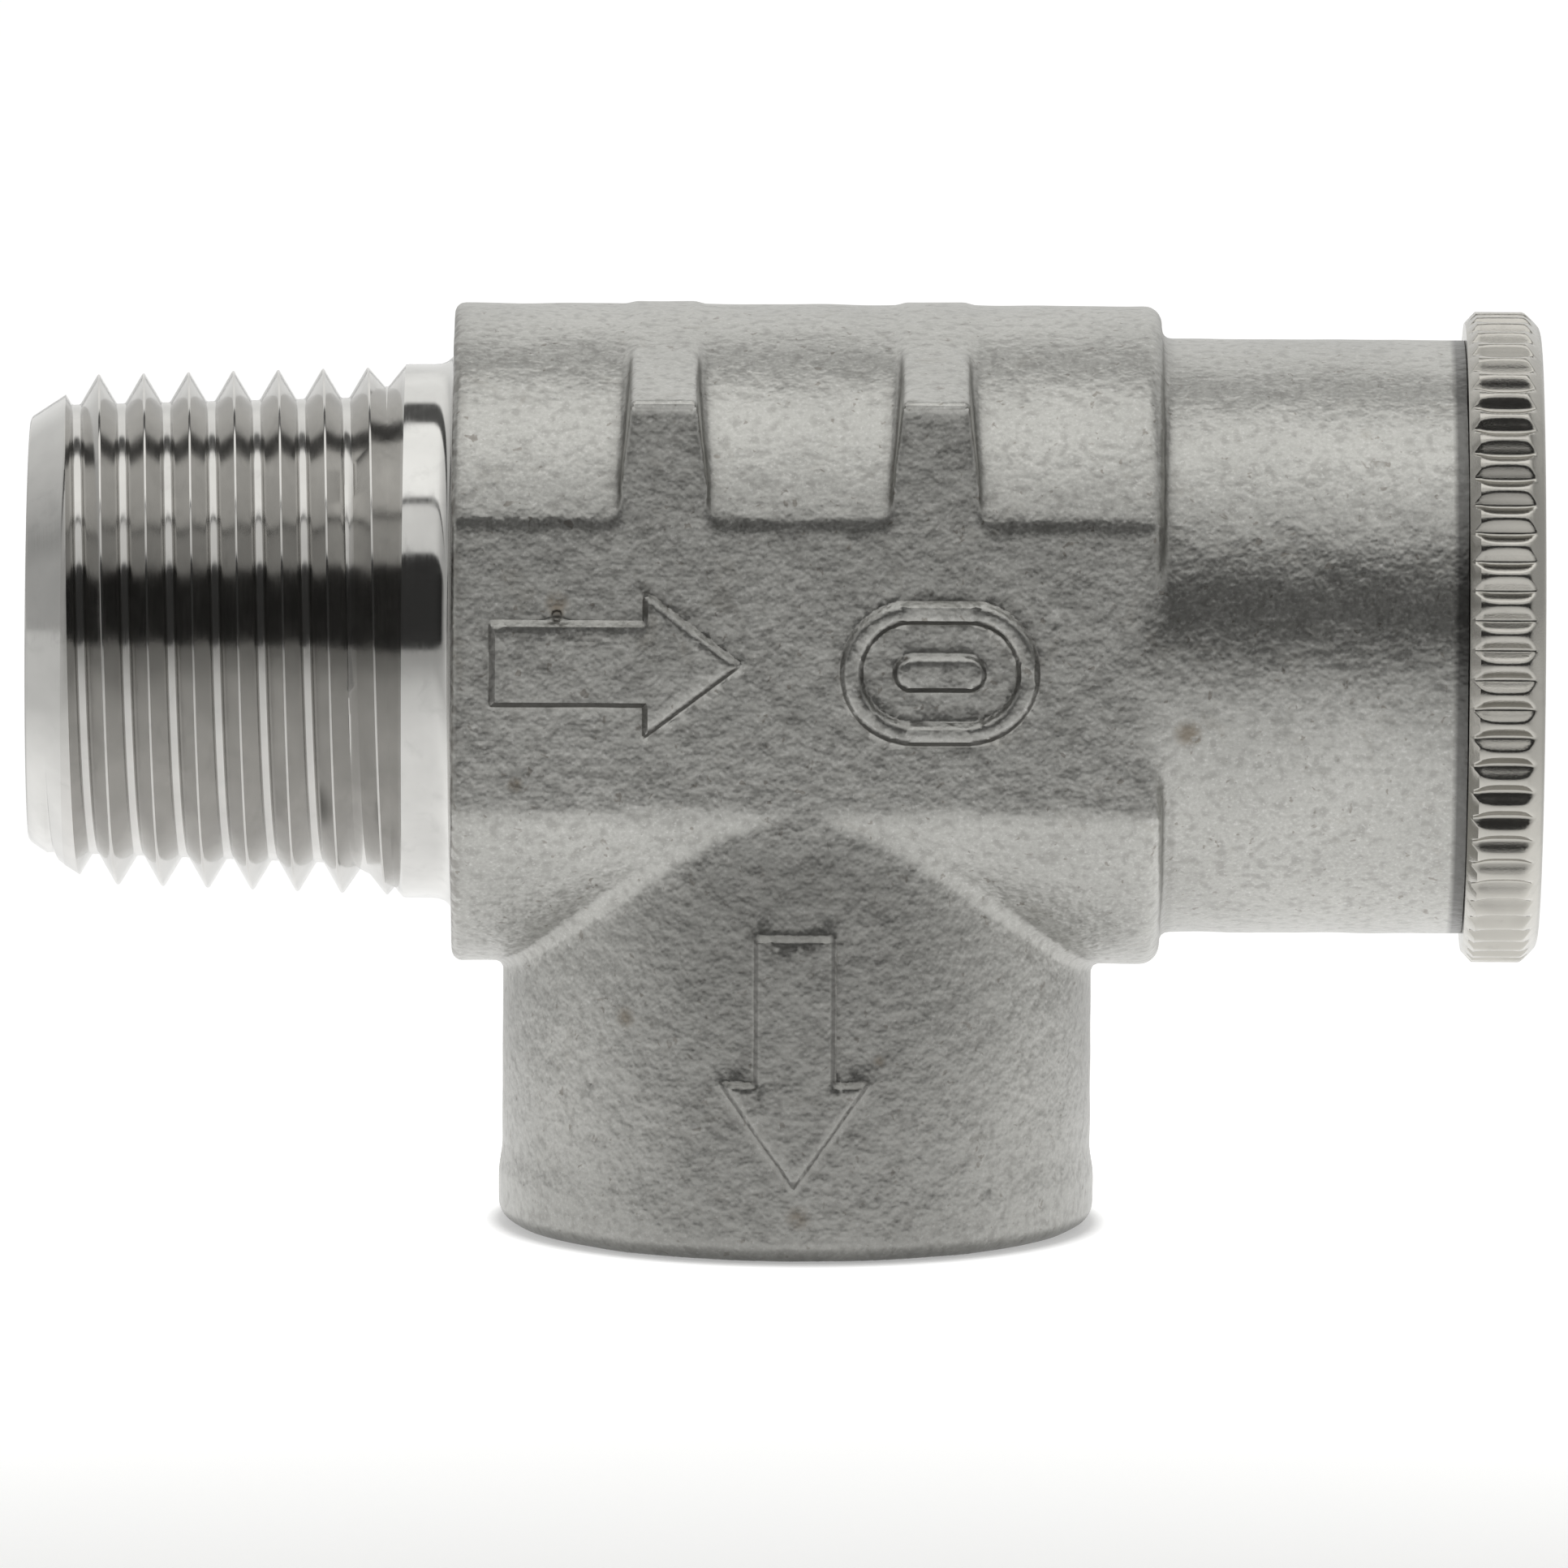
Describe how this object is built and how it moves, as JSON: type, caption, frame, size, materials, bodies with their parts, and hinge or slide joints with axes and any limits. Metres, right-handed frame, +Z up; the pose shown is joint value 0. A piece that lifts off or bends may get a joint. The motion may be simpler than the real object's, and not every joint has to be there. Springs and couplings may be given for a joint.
{
  "type": "pressure relief valve",
  "caption": "Angle relief valve: cast body with a male pipe-thread inlet, a female outlet below, and a knurled cap over a sprung disc.",
  "frame": {"origin": "centre of the outlet's mouth, on the face that the valve stands on", "axes": "+Z up, away from the outlet's mouth; the main bore runs along X at z = 24 mm, with the inlet at -X and the cap at +X; the marked front faces -Y"},
  "size_m": [0.061, 0.0262, 0.0374],
  "materials": {
    "cast_steel": "bead-blasted casting",
    "turned_steel": "turned, fine tool marks",
    "spring_steel": "drawn wire, satin",
    "bronze": "turned",
    "black_rubber": "matt",
    "white_plastic": "matt fluoropolymer",
    "blue_plastic": "matt nylon"
  },
  "bodies": {
    "body": {"valve_body": "cast_steel", "seat_ring": "turned_steel", "seat_o_ring": "black_rubber", "spring": "spring_steel"},
    "disc": {"disc_holder": "turned_steel", "disc_seal": "white_plastic", "clamp_washer": "turned_steel", "seal_screw": "turned_steel", "pivot_ball": "turned_steel", "stem": "turned_steel", "stem_pin": "turned_steel", "lower_spring_plate": "turned_steel", "plate_circlip": "spring_steel"},
    "spring_stop": {"upper_spring_plate": "turned_steel", "thrust_washer": "bronze"},
    "adjuster": {"adjusting_screw": "turned_steel", "locking_pellet": "blue_plastic", "guide_bush": "bronze"},
    "cap_seal": {"cap_o_ring": "black_rubber"},
    "cap": {"cap": "turned_steel"}
  },
  "joints": [
    {"name": "disc_lift", "type": "slide", "parent": "body", "child": "disc", "axis": [1, 0, 0], "range_m": [0, 0.0025], "stiffness_N_per_m": 7200, "springref_m": -0.008, "deforming": ["spring"]},
    {"name": "adjuster_travel", "type": "slide", "parent": "body", "child": "spring_stop", "axis": [1, 0, 0], "range_m": [-0.00151, 0.00101], "deforming": ["spring"]},
    {"name": "adjuster_turn", "type": "hinge", "parent": "spring_stop", "child": "adjuster", "pos_m": [0.02, 0, 0.024], "axis": [1, 0, 0], "range_deg": [-540, 360]},
    {"name": "cap_travel", "type": "slide", "parent": "body", "child": "cap_seal", "axis": [1, 0, 0], "range_m": [0, 0.003]},
    {"name": "cap_turn", "type": "hinge", "parent": "cap_seal", "child": "cap", "pos_m": [0.028, 0, 0.024], "axis": [1, 0, 0], "range_deg": [0, 1080]}
  ],
  "couplings": [
    {"joint": "adjuster_travel", "follows": "adjuster_turn", "m_per_rad": 0.00015915},
    {"joint": "cap_travel", "follows": "cap_turn", "m_per_rad": 0.00015915}
  ]
}
